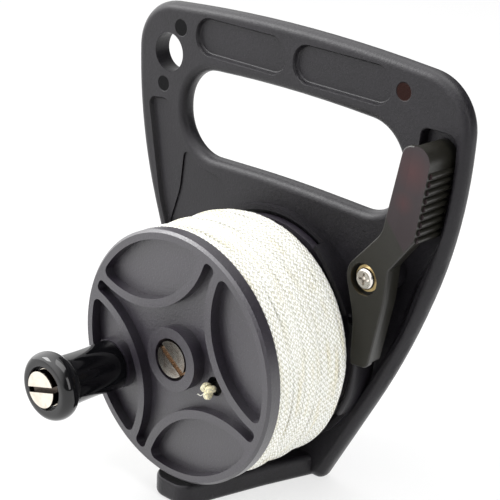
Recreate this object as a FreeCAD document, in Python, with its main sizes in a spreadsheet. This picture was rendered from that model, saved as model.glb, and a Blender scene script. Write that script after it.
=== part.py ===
import FreeCAD, Part
import math
import os

# Dive reel: a hand frame with a finger opening, a crank spool of braided line on one axle,
# and a sprung thumb lever whose shoe holds the spool's rear rim.
# X runs across the frame, Y from the crank knob to the frame's back, Z up from the foot.
# A rise or a drop is a height above or below the axle.

Vector = FreeCAD.Vector
doc = FreeCAD.newDocument("DiveReel")
sheet = doc.addObject("Spreadsheet::Sheet", "Sizes")

SIZES = {
    # frame plate: corners of its outline, rounded by a radius or by the length that the
    # rounding takes from each side
    "axle_height": 53.5,
    "plate_width": 6.8,
    "plate_rounding": 3.0,
    "rounding_share": 0.45,
    "shoulder_half_width": 75.2,
    "shoulder_rise": 101.7,
    "shoulder_radius": 18.5,
    "crown_rise": 108.1,
    "crown_radius": 650.0,
    "flank_inset": 1.1,
    "flank_rise": 54.0,
    "flank_setback": 27.3,
    "waist_inset": 18.8,
    "waist_rise": 4.2,
    "waist_setback": 24.2,
    "base_half_width": 24.7,
    "base_radius": 4.0,
    # finger opening
    "opening_inset": 25.2,
    "opening_low_rise": 50.5,
    "opening_low_arch": 1.5,
    "opening_high_rise": 81.6,
    "opening_high_arch": 2.9,
    "opening_radius": 15.2,
    "opening_arch_radius": 590.0,
    # grip pockets above the opening
    "grip_pocket_depth": 1.8,
    "grip_pocket_low_rise": 88.0,
    "grip_pocket_high_rise": 100.5,
    "grip_pocket_radius": 6.0,
    "grip_pocket_inset": 31.45,
    "grip_pocket_gap": 4.5,
    "grip_pocket_offset": 0.7,
    # lanyard hole
    "lanyard_radius": 7.05,
    "lanyard_inset": 16.9,
    "lanyard_rise": 85.1,
    # recesses in the plate's face
    "recess_depth": 1.7,
    "recess_rim": 0.8,
    "web_depth": 2.3,
    "channel_depth": 3.6,
    # low wall round the rear of the spool, and its high part beside the lever
    "ring_inset": 1.4,
    "ring_wall": 1.8,
    "ring_front": 2.3,
    "ring_step": 4.4,
    "ring_rounding": 1.2,
    "ring_step_low_angle": 30.0,
    "ring_step_high_angle": 59.0,
    "hood_front": 8.6,
    "hood_low_angle": 24.0,
    "hood_slope_angle": 41.0,
    "hood_slope": 7.7,
    # tongue below the spool, which is also the foot
    "tongue_reach": 50.3,
    "tongue_seat": 4.5,
    "tongue_height": 8.5,
    "tongue_tip_half_width": 8.0,
    "tongue_middle_half_width": 15.4,
    "tongue_middle_reach": 18.5,
    "tongue_root_half_width": 22.0,
    "tongue_tip_radius": 6.0,
    "tongue_middle_radius": 60.0,
    "tongue_root_radius": 0.5,
    "tongue_gap": 2.0,
    "tongue_rounding": 2.0,
    # axle screw, sleeve, washers and nut
    "axle_boss_radius": 13.0,
    "axle_boss_rise": 1.2,
    "axle_screw_radius": 4.0,
    "axle_sleeve_radius": 5.5,
    "axle_head_radius": 6.4,
    "axle_head_height": 5.0,
    "axle_washer_radius": 7.0,
    "axle_washer_width": 1.0,
    "axle_nut_flats": 13.0,
    "axle_nut_height": 6.0,
    "nut_fit": 0.15,
    "slot_width": 2.0,
    "slot_depth": 2.2,
    "slot_angle": 35.0,
    "axle_end_inset": 0.3,
    "screw_fit": 0.1,
    "sleeve_fit": 0.05,
    "end_play": 0.1,
    "thrust_washer_radius": 11.0,
    "thrust_washer_width": 0.6,
    # spool
    "flange_radius": 44.0,
    "flange_width": 5.0,
    "flange_bevel": 0.9,
    "dish_rim": 3.2,
    "dish_depth": 3.8,
    "bow_reach": 8.7,
    "bow_radius": 35.0,
    "bow_width": 3.0,
    "bow_angle": 23.0,
    "bow_count": 4,
    "lens_corner_radius": 2.5,
    "arm_corner_radius": 1.8,
    "hub_boss_radius": 11.15,
    "hub_boss_rise": 1.2,
    "head_recess_radius": 7.4,
    "head_sink": 0.2,
    "drum_length": 40.0,
    "hub_radius": 12.0,
    "rear_flange_gap": 1.3,
    "rear_flange_width": 3.0,
    "flange_screw_count": 3,
    "flange_screw_circle": 8.8,
    "flange_screw_radius": 1.4,
    "flange_screw_head_radius": 2.6,
    "flange_screw_head_height": 1.5,
    "flange_screw_length": 12.0,
    # wound line
    "line_diameter": 1.8,
    "line_loops": 18,
    "line_lead": 2.25,
    "winding_inset": 0.4,
    "winding_end_gap": 0.3,
    "winding_flat_length": 28.7,
    "winding_bend_radius": 8.0,
    "winding_bend_angle": 58.0,
    "layer_gap": 0.05,
    "line_hole_x": 16.0,
    "line_hole_drop": 5.5,
    "line_hole_radius": 3.3,
    "knot_rise": 2.25,
    "knot_tail_radius": 0.63,
    # crank knob
    "crank_inset": 10.6,
    "crank_angle": 202.8,
    "crank_boss_radius": 9.0,
    "stem_radius": 8.9,
    "stem_waist": 0.3,
    "stem_gap": 0.3,
    "stem_length": 20.9,
    "collar_radius": 9.2,
    "collar_width": 1.0,
    "neck_length": 1.0,
    "bulb_radius": 12.1,
    "bulb_edge_radius": 9.3,
    "bulb_length": 7.2,
    "knob_recess_radius": 7.7,
    "knob_sleeve_radius": 4.0,
    "knob_screw_radius": 3.0,
    "knob_head_height": 3.5,
    "knob_head_proud": 1.2,
    "knob_slot_angle": -16.6,
    "knob_washer_radius": 6.6,
    "knob_washer_width": 1.0,
    "knob_nut_flats": 10.0,
    "knob_nut_height": 3.2,
    # thumb lever
    "pivot_reach": 3.8,
    "pivot_rise": 32.8,
    "lever_front": 10.5,
    "lever_plate_width": 2.4,
    "lever_depth": 7.5,
    "lever_rounding": 0.6,
    "lever_body_inset": 0.8,
    "crease_tilt": 2.2,
    "lever_ring_clearance": 0.4,
    "pad_depth": 13.8,
    "pad_width": 7.5,
    "pad_top_radius": 1.3,
    "pad_low_radius": 1.5,
    "pad_rib_count": 9,
    "pad_rib_radius": 1.05,
    "pad_rib_pitch": 2.75,
    "pad_rib_drop": 8.8,
    "lever_boss_radius": 6.4,
    "lever_boss_gap": 0.4,
    "bush_radius": 3.8,
    "lever_screw_radius": 2.0,
    "lever_head_radius": 3.7,
    "lever_head_height": 1.8,
    "lever_head_rounding": 1.1,
    "cross_width": 0.9,
    "cross_length": 4.2,
    "cross_depth": 1.2,
    "lever_washer_radius": 4.6,
    "lever_washer_width": 0.8,
    "lever_recess_radius": 5.5,
    "lever_recess_depth": 2.8,
    "insert_radius": 2.9,
    "insert_length": 6.6,
    "insert_fit": 0.02,
    "spring_wire": 0.8,
    "spring_radius": 5.2,
    "spring_turns": 1.25,
    "spring_lead": 1.25,
    "spring_leg": 1.3,
    "spring_leg_room": 0.9,
    "spring_room_radius": 6.4,
    "spring_room_depth": 2.6,
    "shoe_height": 8.0,
    "shoe_width": 3.0,
    "shoe_rise": 9.0,
    "shoe_hold": 4.4,
    "shoe_gap": 0.3,
    "window_room": 3.0,
    "window_reach": 5.8,
}
SIZES["plate_face"] = 0.0

# Corners of outlines: place along X, rise and rounding radius. X is measured from the left
# shoulder for the recess and the web, and from the ring wall for the channel and the lever.
OUTLINES = {
    "recess": [
        (7.6, 66.3, 2.5), (18.4, 67.6, 5.0), (21.2, 56.5, 12.0), (33.2, 46.0, 12.0),
        (45.2, 44.6, 5.0), (48.7, 36.0, 3.0), (55.2, 8.0, 3.0), (53.2, -20.0, 3.0),
        (37.7, -22.5, 6.0), (24.7, 3.0, 60.0), (14.7, 30.0, 60.0),
    ],
    "web": [
        (24.7, 51.5, 2.0), (32.9, 45.0, 12.0), (44.8, 43.6, 4.5), (47.8, 35.7, 3.0),
        (54.2, 8.0, 3.0), (52.3, -19.0, 2.5), (38.2, -21.5, 5.5), (25.6, 3.4, 60.0),
        (18.6, 21.5, 3.0), (23.0, 35.0, 20.0),
    ],
    "channel_floor": [
        (14.4, 84.2, 2.5), (27.3, 84.2, 3.0), (26.3, 66.0, 60.0), (23.6, 50.5, 12.0),
        (14.9, 33.0, 60.0), (9.4, 15.0, 60.0), (2.9, -5.0, 1.2), (0.4, -3.8, 1.0),
        (1.7, 10.0, 20.0), (1.4, 28.0, 12.0), (3.9, 41.0, 6.0), (12.3, 52.5, 6.0),
    ],
    "channel_rim": [
        (14.0, 85.2, 3.0), (28.4, 85.2, 4.0), (28.1, 67.0, 60.0), (25.4, 50.0, 20.0),
        (19.4, 32.5, 60.0), (13.7, 14.5, 60.0), (-8.6, -27.0, 1.0), (-10.6, -24.5, 1.0),
        (1.0, 10.0, 20.0), (0.6, 28.0, 12.0), (3.4, 41.4, 6.0), (11.8, 53.0, 6.0),
    ],
    "lever": [
        (0.4, 1.6, 1.2), (0.5, 18.0, 30.0), (-4.5, 34.6, 8.0), (9.7, 50.5, 10.0),
        (15.1, 81.4, 4.0), (27.1, 82.2, 5.0), (22.6, 50.6, 1.5), (13.4, 38.4, 1.0),
        (12.8, 27.5, 60.0), (7.8, 2.2, 2.5),
    ],
}
# Two points of the crease across the lever's front, measured in the same way.
CREASE = [(11.0, 56.1), (18.5, 47.4)]
# Share of the way from floor to rim, and share of the depth, down a recess's soft wall.
SOFT_WALL = [(0.0, 1.0), (0.2, 0.92), (0.4, 0.68), (0.55, 0.36), (0.75, 0.1), (1.15, -0.1)]
# Axes of the knot's two loops, and the heading of its tail.
KNOT_LOOPS = [(0.3, 1.0, 0.2), (1.0, 0.4, 0.5)]
KNOT_TAIL = (-0.72, -0.1, -0.69)
# Places closer than this are the same place.
NEAR = 0.01

CELLS = {}
for row, (name, value) in enumerate(SIZES.items(), start=1):
    CELLS[name] = f"B{row}"
    sheet.set(f"A{row}", name)
    sheet.set(CELLS[name], str(value))
    sheet.setAlias(CELLS[name], name)
doc.recompute()


def amount(total):
    """The number that a plain sum of sizes comes to, such as 'axle_height - shoe_rise'."""
    result = 0.0
    sign = 1.0
    for word in total.split():
        if word in ("+", "-"):
            sign = 1.0 if word == "+" else -1.0
            continue
        name, _, share = word.partition("/")
        number = float(name) if name[0].isdigit() else float(sheet.get(name))
        result += sign * number / float(share or 1)
    return result


def formula(total):
    """The same sum as an expression on the sheet."""
    words = []
    for word in total.split():
        words.append(word if word in ("+", "-") or word[0].isdigit() else "Sizes." + word)
    return " ".join(words)


# Places along Y, from the plate's front face towards the knob.
BOSS_FACE = "plate_face - axle_boss_rise"
SPOOL_BACK = BOSS_FACE + " - end_play - thrust_washer_width - end_play"
DRUM_BACK = SPOOL_BACK + " - rear_flange_width"
DRUM_FRONT = DRUM_BACK + " - drum_length"
FLANGE_FACE = DRUM_FRONT + " - flange_width"
HUB_FACE = FLANGE_FACE + " - hub_boss_rise"
AXLE_HEAD_FACE = HUB_FACE + " + head_sink"
AXLE_HEAD_BACK = AXLE_HEAD_FACE + " + axle_head_height"
SLEEVE_FRONT = AXLE_HEAD_BACK + " + axle_washer_width"
COLLAR_BACK = FLANGE_FACE + " - stem_length"
BULB_BACK = COLLAR_BACK + " - collar_width - neck_length"
KNOB_FACE = BULB_BACK + " - bulb_length"
KNOB_HEAD_FACE = KNOB_FACE + " - knob_head_proud"
KNOB_HEAD_BACK = KNOB_HEAD_FACE + " + knob_head_height"
KNOB_SLEEVE_FRONT = KNOB_HEAD_BACK + " + knob_washer_width"
LEVER_FACE = "plate_face - lever_front"
LEVER_PLATE_BACK = LEVER_FACE + " + lever_plate_width"
LEVER_BACK = LEVER_FACE + " + lever_depth"
LEVER_SEAT = LEVER_FACE + " + lever_recess_depth"
LEVER_BOSS_FACE = LEVER_BACK + " + lever_boss_gap"
BUSH_FRONT = LEVER_SEAT + " - end_play"
LEVER_HEAD_BACK = BUSH_FRONT + " - lever_washer_width"
SPRING_ROOM_FRONT = LEVER_BACK + " - spring_room_depth"
PLATE_BACK = "plate_face + plate_width"
RING_FACE = "plate_face - ring_front"
RING_STEP_FACE = RING_FACE + " - ring_step"
RING_ROOT = "channel_depth + ring_front"
HOOD_FACE = "plate_face - hood_front"

# Radii that follow the spool's front flange, and places above the foot.
DISH = "flange_radius - dish_rim"
BOW_CENTRE = "flange_radius + bow_reach"
WINDING = "flange_radius - winding_inset"
RING = "flange_radius - ring_inset"
RING_INSIDE = RING + " - ring_wall"
REAR_FLANGE = RING_INSIDE + " - rear_flange_gap"
PIVOT_X = RING + " + pivot_reach"
PIVOT_Z = "axle_height + pivot_rise"
LINE_HOLE_Z = "axle_height - line_hole_drop"

# The origin stands midway between the knob screw's head and the plate's back.
depth = amount(PLATE_BACK) - amount(KNOB_HEAD_FACE)
sheet.set(CELLS["plate_face"], str(round(depth / 2 - amount("plate_width"), 6)))
doc.recompute()

AXLE_Z = amount("axle_height")
CRANK = math.radians(amount("crank_angle"))
CRANK_X = amount("flange_radius - crank_inset") * math.cos(CRANK)
CRANK_Z = AXLE_Z + amount("flange_radius - crank_inset") * math.sin(CRANK)
ALONG_Y = FreeCAD.Rotation(Vector(1, 0, 0), -90)
UPRIGHT = FreeCAD.Rotation(Vector(1, 0, 0), 90)
FLAT = FreeCAD.Rotation()


def bind(thing, **sizes):
    for prop, total in sizes.items():
        thing.setExpression(prop, formula(total))


def stand(thing, x, y, z, turn):
    """Puts a piece at x, y, z, each a sum of sizes or a number, turned as given."""
    corner = [amount(c) if isinstance(c, str) else c for c in (x, y, z)]
    thing.Placement = FreeCAD.Placement(Vector(*corner), turn)
    for axis, c in zip("xyz", (x, y, z)):
        if isinstance(c, str):
            thing.setExpression("Placement.Base." + axis, formula(c))


def rod(name, radius, front, length, x=0.0, z="axle_height"):
    """A cylinder along Y from its front end."""
    thing = doc.addObject("Part::Cylinder", name)
    bind(thing, Radius=radius, Height=length)
    stand(thing, x, front, z, ALONG_Y)
    return thing


def hexagon(name, flats, front, length, x, z):
    """A hexagonal prism along Y."""
    thing = doc.addObject("Part::Prism", name)
    thing.Polygon = 6
    thing.Circumradius = amount(flats) / math.sqrt(3.0)
    thing.setExpression("Circumradius", "(" + formula(flats) + ") / sqrt(3)")
    bind(thing, Height=length)
    stand(thing, x, front, z, ALONG_Y)
    return thing


def block(name, x, y, z, length, width, height):
    """A box from its lowest corner, its sides along X, Y and Z."""
    thing = doc.addObject("Part::Box", name)
    bind(thing, Length=length, Width=width, Height=height)
    stand(thing, x, y, z, FLAT)
    return thing


def fuse(name, pieces):
    thing = doc.addObject("Part::MultiFuse", name)
    thing.Shapes = pieces
    return thing


def cut(name, base, *tools):
    thing = doc.addObject("Part::Cut", name)
    thing.Base = base
    thing.Tool = tools[0] if len(tools) == 1 else fuse(name + "_tools", list(tools))
    return thing


def common(name, base, tool):
    thing = doc.addObject("Part::Common", name)
    thing.Base = base
    thing.Tool = tool
    return thing


def rounded(corners):
    """The lines and arcs of a closed outline whose corners (x, y, radius) are rounded."""
    places = [Vector(x, y, 0) for x, y, _ in corners]
    stretches = []
    for k, (_, _, radius) in enumerate(corners):
        here = places[k]
        back = (places[k - 1] - here).normalize()
        ahead = (places[(k + 1) % len(places)] - here).normalize()
        half = back.getAngle(ahead) / 2
        start = here + back * (radius / math.tan(half))
        end = here + ahead * (radius / math.tan(half))
        middle = (back + ahead).normalize()
        mid = here + middle * (radius / math.sin(half) - radius)
        stretches.append((start, mid, end))
    edges = []
    for k, (start, mid, end) in enumerate(stretches):
        edges.append(Part.Arc(start, mid, end))
        edges.append(Part.LineSegment(end, stretches[(k + 1) % len(stretches)][0]))
    return edges


def sketch(name, edges, x, y, z, turn):
    thing = doc.addObject("Sketcher::SketchObject", name)
    thing.addGeometry(edges, False)
    stand(thing, x, y, z, turn)
    return thing


def slab(name, corners, front, length):
    """An upright outline in X and rise above the axle, made solid along Y."""
    outline = sketch(name + "_outline", rounded(corners), 0.0, front, "axle_height", UPRIGHT)
    thing = doc.addObject("Part::Extrusion", name)
    thing.Base = outline
    thing.DirMode = "Custom"
    thing.Dir = Vector(0, 1, 0)
    thing.Solid = True
    bind(thing, LengthFwd=length)
    return thing


def turned(name, edges, y, x=0.0, z="axle_height"):
    """A profile of radius and place along Y, turned about the Y axis through x, z."""
    profile = sketch(name + "_profile", edges, x, y, z, FLAT)
    thing = doc.addObject("Part::Revolution", name)
    thing.Source = profile
    height = amount(z) if isinstance(z, str) else z
    thing.Base = Vector(x, 0, height)
    thing.Axis = Vector(0, 1, 0)
    thing.Angle = 360
    thing.Solid = True
    return thing


def lines(points):
    """The straight edges between points of a profile, in order and not closed."""
    places = [Vector(x, y, 0) for x, y in points]
    return [Part.LineSegment(a, b) for a, b in zip(places[:-1], places[1:])]


def biarc(p, u, q, v):
    """Two arcs that leave p along u and reach q along v."""
    w = q - p
    a = 2 * (u.dot(v) - 1)
    b = -2 * w.dot(u + v)
    c = w.dot(w)
    reach = c / (2 * w.dot(u + v)) if abs(a) < 1e-9 else (-b - math.sqrt(b * b - 4 * a * c)) / (2 * a)
    if reach < 0:
        reach = (-b + math.sqrt(b * b - 4 * a * c)) / (2 * a)
    joint = (p + u * reach + q - v * reach) * 0.5
    return [bend(p, u, joint), bend(q, v * -1, joint)]


def bend(p, u, q):
    """The arc that leaves p along u and ends at q."""
    chord = q - p
    across = u - chord * (u.dot(chord) / chord.dot(chord))
    angle = u.getAngle(chord)
    mid = p + chord * 0.5 + across.normalize() * (chord.Length / 2 * math.tan(angle / 2))
    return Part.Arc(p, mid, q)


def wound(path, tangents, wire_radius, lead_in, lead_out):
    """A round wire along biarcs through a path, with a bent straight end at each end."""
    edges = list(lead_in)
    for k in range(len(path) - 1):
        edges += biarc(path[k], tangents[k], path[k + 1], tangents[k + 1])
    edges += lead_out
    spine = Part.Wire([edge.toShape() for edge in edges])
    first = spine.Edges[0]
    start = first.valueAt(first.FirstParameter)
    along = first.tangentAt(first.FirstParameter)
    ring = Part.Wire([Part.makeCircle(wire_radius, start, along)])
    shell = Part.BRepOffsetAPI.MakePipeShell(spine)
    shell.add(ring)
    shell.build()
    shell.makeSolid()
    return shell.shape(), spine


def least_gap(spine, wire_radius, apart):
    """The least gap of a wire to itself, between places further apart than a length along it."""
    step = wire_radius
    points = spine.discretize(Distance=step)
    skip = int(apart / step)
    window = int(apart * 3 / step)
    least = apart
    for k in range(0, len(points), 2):
        for other in points[k + skip:k + window]:
            least = min(least, points[k].distanceToPoint(other))
    return least - 2 * wire_radius


def piece(name, shape):
    thing = doc.addObject("Part::Feature", name)
    thing.Shape = shape
    thing.Placement = FreeCAD.Placement()
    return thing


nodes = []


def keep(thing, name):
    thing.Label = name
    nodes.append(thing)
    return thing


# Frame plate: mirrored outline with every corner rounded, and the finger opening.
base = Vector(amount("base_half_width"), -AXLE_Z)
waist = Vector(amount("shoulder_half_width - waist_inset"), amount("waist_rise"))
flank = Vector(amount("shoulder_half_width - flank_inset"), amount("flank_rise"))
shoulder = Vector(amount("shoulder_half_width"), amount("shoulder_rise"))


def setback_radius(before, corner, after, setback):
    """The rounding radius that takes a given length from each side of a corner."""
    return amount(setback) * math.tan((before - corner).getAngle(after - corner) / 2)


half_outline = [
    (base.x, base.y, amount("base_radius")),
    (waist.x, waist.y, setback_radius(base, waist, flank, "waist_setback")),
    (flank.x, flank.y, setback_radius(waist, flank, shoulder, "flank_setback")),
    (shoulder.x, shoulder.y, amount("shoulder_radius")),
]
crown = [(0.0, amount("crown_rise"), amount("crown_radius"))]
left_outline = [(-x, rise, radius) for x, rise, radius in reversed(half_outline)]
plate = slab("plate", half_outline + crown + left_outline, "plate_face", "plate_width")

opening_x = amount("shoulder_half_width - opening_inset")
opening_low = amount("opening_low_rise")
opening_high = amount("opening_high_rise")
opening = slab("opening", [
    (opening_x, opening_low, amount("opening_radius")),
    (opening_x, opening_high, amount("opening_radius")),
    (0.0, opening_high + amount("opening_high_arch"), amount("opening_arch_radius")),
    (-opening_x, opening_high, amount("opening_radius")),
    (-opening_x, opening_low, amount("opening_radius")),
    (0.0, opening_low + amount("opening_low_arch"), amount("opening_arch_radius")),
], "plate_face", "plate_width")
plate_blank = cut("plate_blank", plate, opening)
doc.recompute()

rims = []
rim = min(amount("plate_rounding"), amount("plate_width") * amount("rounding_share"))
for number, edge in enumerate(plate_blank.Shape.Edges, start=1):
    if edge.BoundBox.YLength < NEAR:
        rims.append((number, rim, rim))
plate_rounded = doc.addObject("Part::Fillet", "plate_rounded")
plate_rounded.Base = plate_blank
plate_rounded.Edges = rims


def placed(outline, start):
    """The corners of an outline whose places along X are measured from a start."""
    return [(start + x, rise, radius) for x, rise, radius in OUTLINES[outline]]


def grown(corners, by):
    """The same outline grown on all sides, or shrunk where the amount is negative."""
    places = [Vector(x, y, 0) for x, y, _ in corners]
    area = sum(places[k - 1].cross(here).z for k, here in enumerate(places))
    result = []
    for k, (x, y, radius) in enumerate(corners):
        here = places[k]
        back = (places[k - 1] - here).normalize()
        ahead = (places[(k + 1) % len(places)] - here).normalize()
        half = back.getAngle(ahead) / 2
        convex = 1.0 if ahead.cross(back).z * area > 0 else -1.0
        corner = here - (back + ahead).normalize() * (convex * by / math.sin(half))
        result.append((corner.x, corner.y, radius + convex * by))
    return result


def soft_recess(name, floor, rim, depth):
    """A recess cutter whose walls curve from the floor's outline out to the rim's."""
    sections = []
    for number, (share, reach) in enumerate(SOFT_WALL):
        corners = []
        for (x, y, radius), (rim_x, rim_y, rim_radius) in zip(floor, rim):
            corners.append((x + (rim_x - x) * share, y + (rim_y - y) * share,
                            radius + (rim_radius - radius) * share))
        sections.append(sketch(f"{name}_section_{number}", rounded(corners), 0.0,
                               amount("plate_face") + amount(depth) * reach, "axle_height",
                               UPRIGHT))
    thing = doc.addObject("Part::Loft", name)
    thing.Sections = sections
    thing.Solid = True
    thing.Ruled = False
    return thing


def grip_pocket(name, near, far):
    low = amount("grip_pocket_low_rise")
    high = amount("grip_pocket_high_rise")
    radius = amount("grip_pocket_radius")
    corners = [(near, low, radius), (far, low, radius), (far, high, radius), (near, high, radius)]
    return soft_recess(name, grown(corners, -amount("recess_rim") / 2),
                       grown(corners, amount("recess_rim")), "grip_pocket_depth")


pocket_edge = amount("grip_pocket_gap") / 2
pocket_end = amount("shoulder_half_width - grip_pocket_inset")
pocket_shift = -amount("grip_pocket_offset")
left_pocket = grip_pocket("left_pocket", pocket_shift - pocket_end, pocket_shift - pocket_edge)
right_pocket = grip_pocket("right_pocket", pocket_shift + pocket_edge, pocket_shift + pocket_end)
lanyard_hole = rod("lanyard_hole", "lanyard_radius", "plate_face", "plate_width",
                   "0 - shoulder_half_width + lanyard_inset", "axle_height + lanyard_rise")

# Recesses: a shallow one with a deeper web on the left, the lever's channel on the right.
recess_outline = placed("recess", -shoulder.x)
shallow_recess = soft_recess("shallow_recess", grown(recess_outline, -amount("recess_rim") / 2),
                             grown(recess_outline, amount("recess_rim")), "recess_depth")
web = slab("web", placed("web", -shoulder.x), "plate_face", "web_depth")
channel = soft_recess("channel", placed("channel_floor", amount(RING)),
                      placed("channel_rim", amount(RING)), "channel_depth")
plate_cut = cut("plate_cut", plate_rounded, left_pocket, right_pocket, lanyard_hole,
                shallow_recess, web, channel)

# Wall round the spool's rear, high beside the lever, where it has a window for the brake shoe,
# with a hood above the window that slopes down to the high part's upper end.
ring_outside = rod("ring_outside", RING, RING_FACE, RING_ROOT)
ring_step = rod("ring_step", RING, RING_STEP_FACE, "ring_step + ring_front")
ring_step.Placement.Rotation = ALONG_Y * FreeCAD.Rotation(
    Vector(0, 0, 1), -amount("ring_step_high_angle"))
bind(ring_step, Angle="ring_step_high_angle + ring_step_low_angle")
doc.recompute()
ring_rounding = min(amount("ring_rounding"), amount("ring_wall - end_play"))
ring_high = doc.addObject("Part::Fillet", "ring_high")
ring_high.Base = ring_step
ring_high.Edges = [
    (number, ring_rounding, ring_rounding)
    for number, edge in enumerate(ring_step.Shape.Edges, start=1)
    if edge.Curve.TypeId == "Part::GeomCircle"
    and abs(edge.CenterOfMass.y - amount(RING_STEP_FACE)) < amount("end_play")]
hood_blank = rod("hood_blank", RING, HOOD_FACE, "hood_front")
hood_blank.Placement.Rotation = ALONG_Y * FreeCAD.Rotation(
    Vector(0, 0, 1), -amount("ring_step_high_angle"))
bind(hood_blank, Angle="ring_step_high_angle - hood_low_angle")
slope_angle = math.radians(amount("hood_slope_angle"))
slope_start = Vector(amount(RING) * math.cos(slope_angle), amount(HOOD_FACE),
                     AXLE_Z + amount(RING) * math.sin(slope_angle))
slope_heading = 90.0 + amount("hood_slope_angle/2 + ring_step_high_angle/2")
slope_turn = FreeCAD.Rotation(Vector(0, 1, 0), -slope_heading)
slope_turn = slope_turn * FreeCAD.Rotation(Vector(0, 0, 1), amount("hood_slope"))
slope_side = amount(RING)
slope_cut = doc.addObject("Part::Box", "slope_cut")
slope_cut.Length = slope_side
slope_cut.Height = slope_side * 2
bind(slope_cut, Width="hood_front")
slope_cut.Placement = FreeCAD.Placement(
    slope_start + slope_turn.multVec(Vector(0, -amount("hood_front"), -slope_side)), slope_turn)
hood = cut("hood", hood_blank, slope_cut)
ring_inside = rod("ring_inside", RING_INSIDE, HOOD_FACE, "channel_depth + hood_front")
wall = cut("wall", fuse("wall_blank", [ring_outside, ring_high, hood]), ring_inside)

# Tongue: a tapering foot under the spool, hollowed round the line.
tip = -amount("tongue_reach")
root = amount("tongue_seat")
half_plan = [
    (amount("tongue_root_half_width"), root, amount("tongue_root_radius")),
    (amount("tongue_middle_half_width"), -amount("tongue_middle_reach"),
     amount("tongue_middle_radius")),
    (amount("tongue_tip_half_width"), tip, amount("tongue_tip_radius")),
]
plan = half_plan + [(-x, y, radius) for x, y, radius in reversed(half_plan)]
tongue_outline = sketch("tongue_outline", rounded(plan), 0.0, "plate_face", 0.0, FLAT)
tongue_blank = doc.addObject("Part::Extrusion", "tongue_blank")
tongue_blank.Base = tongue_outline
tongue_blank.DirMode = "Custom"
tongue_blank.Dir = Vector(0, 0, 1)
tongue_blank.Solid = True
bind(tongue_blank, LengthFwd="tongue_height")
doc.recompute()
before_root = amount("plate_face") + root - 2 * amount("tongue_root_radius")
edges = []
for number, edge in enumerate(tongue_blank.Shape.Edges, start=1):
    box = edge.BoundBox
    if box.ZLength < NEAR and box.YMin < before_root:
        edges.append((number, amount("tongue_rounding"), amount("tongue_rounding")))
tongue_rounded = doc.addObject("Part::Fillet", "tongue_rounded")
tongue_rounded.Base = tongue_blank
tongue_rounded.Edges = edges
tongue_hollow = rod("tongue_hollow", "flange_radius + tongue_gap", "plate_face - tongue_reach",
                    "tongue_reach")
tongue = cut("tongue", tongue_rounded, tongue_hollow)

# Bosses, holes and the nut's pocket.
axle_boss = rod("axle_boss", "axle_boss_radius", BOSS_FACE, "axle_boss_rise + web_depth")
lever_boss = rod("lever_boss", "lever_boss_radius", LEVER_BOSS_FACE,
                 "lever_front - lever_depth - lever_boss_gap + channel_depth", PIVOT_X, PIVOT_Z)
frame_blank = fuse("frame_blank", [plate_cut, wall, tongue, axle_boss, lever_boss])
axle_hole = rod("axle_hole", "axle_screw_radius + screw_fit", BOSS_FACE,
                "axle_boss_rise + plate_width")
nut_pocket = hexagon("nut_pocket", "axle_nut_flats + nut_fit + nut_fit",
                     PLATE_BACK + " - axle_nut_height", "axle_nut_height", 0.0, "axle_height")
insert_hole = rod("insert_hole", "insert_radius + insert_fit", LEVER_BOSS_FACE,
                  "insert_length + end_play", PIVOT_X, PIVOT_Z)
window = block("window", RING + " - window_reach", HOOD_FACE,
               "axle_height + shoe_rise - shoe_height/2 - window_room",
               "window_reach + ring_wall", "hood_front - ring_front",
               "shoe_height + window_room + window_room")
leg_hole_rear = rod("leg_hole_rear", "spring_wire/2 + screw_fit", LEVER_BOSS_FACE,
                    "spring_leg + spring_leg_room", PIVOT_X + " - spring_radius",
                    PIVOT_Z + " - spring_wire")
frame = cut("frame", frame_blank, axle_hole, nut_pocket, insert_hole, window, leg_hole_rear)
keep(frame, "frame")

# Axle: slotted screw, washer, sleeve, thrust washer and the nut in the frame's back.
axle_head = rod("axle_head", "axle_head_radius", AXLE_HEAD_FACE, "axle_head_height")
axle_shank = rod("axle_shank", "axle_screw_radius", AXLE_HEAD_BACK,
                 "plate_width - axle_end_inset + flange_width + drum_length"
                 " + rear_flange_width + end_play + end_play + thrust_washer_width"
                 " + axle_boss_rise + hub_boss_rise - head_sink - axle_head_height")


def driver_slot(name, radius, front, x, z, angle):
    """A straight slot across a screw's head, turned about the screw."""
    thing = doc.addObject("Part::Box", name)
    length = amount(radius) * 2 + amount("slot_width")
    thing.Length = length
    bind(thing, Width="slot_depth", Height="slot_width")
    turn = FreeCAD.Rotation(Vector(0, 1, 0), angle)
    offset = turn.multVec(Vector(-length / 2, 0, -amount("slot_width") / 2))
    thing.Placement = FreeCAD.Placement(Vector(x, amount(front), z) + offset, turn)
    return thing


axle_slot = driver_slot("axle_slot", "axle_head_radius", AXLE_HEAD_FACE, 0.0, AXLE_Z,
                        amount("slot_angle"))
axle_screw = cut("axle_screw", fuse("axle_screw_blank", [axle_head, axle_shank]), axle_slot)
keep(axle_screw, "axle_screw")


def tube(name, outer, inner, front, length, x=0.0, z="axle_height"):
    outside = rod(name + "_outside", outer, front, length, x, z)
    bore = rod(name + "_bore", inner, front, length, x, z)
    return keep(cut(name, outside, bore), name)


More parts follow.
